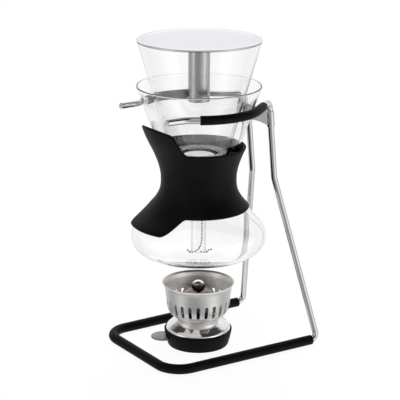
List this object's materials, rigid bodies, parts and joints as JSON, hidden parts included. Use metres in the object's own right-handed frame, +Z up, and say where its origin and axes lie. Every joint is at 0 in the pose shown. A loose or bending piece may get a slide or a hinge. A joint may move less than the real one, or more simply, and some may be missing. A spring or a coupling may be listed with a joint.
{
  "type": "siphon coffee brewer",
  "caption": "Tabletop siphon coffee brewer: glass carafe with a black silicone band hung in a bent-rod stand, stemmed upper bowl with filter, steel lid with a tube, and a spirit burner below.",
  "frame": {"origin": "on the table, at the vertical axis shared by lid, bowl, carafe and burner", "axes": "+Z up; -Y is the front, where the arms and the band's wing point; the legs stand on the +Y side"},
  "size_m": [0.1786, 0.2274, 0.395],
  "materials": {
    "glass": "clear polished",
    "stand_steel": "polished",
    "lid_steel": "fine brushed",
    "burner_chrome": "mirror",
    "guard_steel": "satin",
    "black_rubber": "matt",
    "filter_cotton": "woven flannel",
    "wick_cotton": "braided"
  },
  "bodies": {
    "stand": {"stand_rod": "stand_steel", "base_sleeve": "black_rubber", "arm_sleeve_right": "black_rubber", "arm_sleeve_left": "black_rubber", "bracket_plate": "stand_steel", "bracket_collar_right": "stand_steel", "bracket_collar_left": "stand_steel"},
    "carafe": {"carafe_glass": "glass", "silicone_band": "black_rubber"},
    "upper_bowl": {"upper_bowl_glass": "glass", "neck_stopper": "black_rubber", "filter_cloth": "filter_cotton", "filter_plate": "lid_steel", "filter_spring": "lid_steel", "ball_chain": "lid_steel", "chain_tail": "lid_steel"},
    "lid": {"lid_plate": "lid_steel", "lid_tube": "lid_steel"},
    "burner": {"burner_boot": "black_rubber", "fuel_reservoir": "burner_chrome", "holder_seal": "black_rubber", "wick_holder": "burner_chrome"},
    "guard": {"wind_guard": "guard_steel"},
    "cap": {"snuffer_cap": "burner_chrome"},
    "wick": {"wick": "wick_cotton"}
  },
  "joints": [
    {"name": "carafe_lift", "type": "slide", "parent": "stand", "child": "carafe", "axis": [0, 0, 1], "range_m": [0, 0.095]},
    {"name": "upper_bowl_lift", "type": "slide", "parent": "carafe", "child": "upper_bowl", "axis": [0, 0, 1], "range_m": [0, 0.215]},
    {"name": "lid_lift", "type": "slide", "parent": "upper_bowl", "child": "lid", "axis": [0, 0, 1], "range_m": [0, 0.09]},
    {"name": "burner_slide", "type": "slide", "parent": "stand", "child": "burner", "axis": [0, 1, 0], "range_m": [0, 0.2]},
    {"name": "guard_lift", "type": "slide", "parent": "burner", "child": "guard", "axis": [0, 0, 1], "range_m": [0, 0.026]},
    {"name": "cap_lift", "type": "slide", "parent": "burner", "child": "cap", "axis": [0, 0, 1], "range_m": [0, 0.02]},
    {"name": "wick_height", "type": "slide", "parent": "burner", "child": "wick", "axis": [0, 0, 1], "range_m": [-0.001, 0.001]}
  ]
}
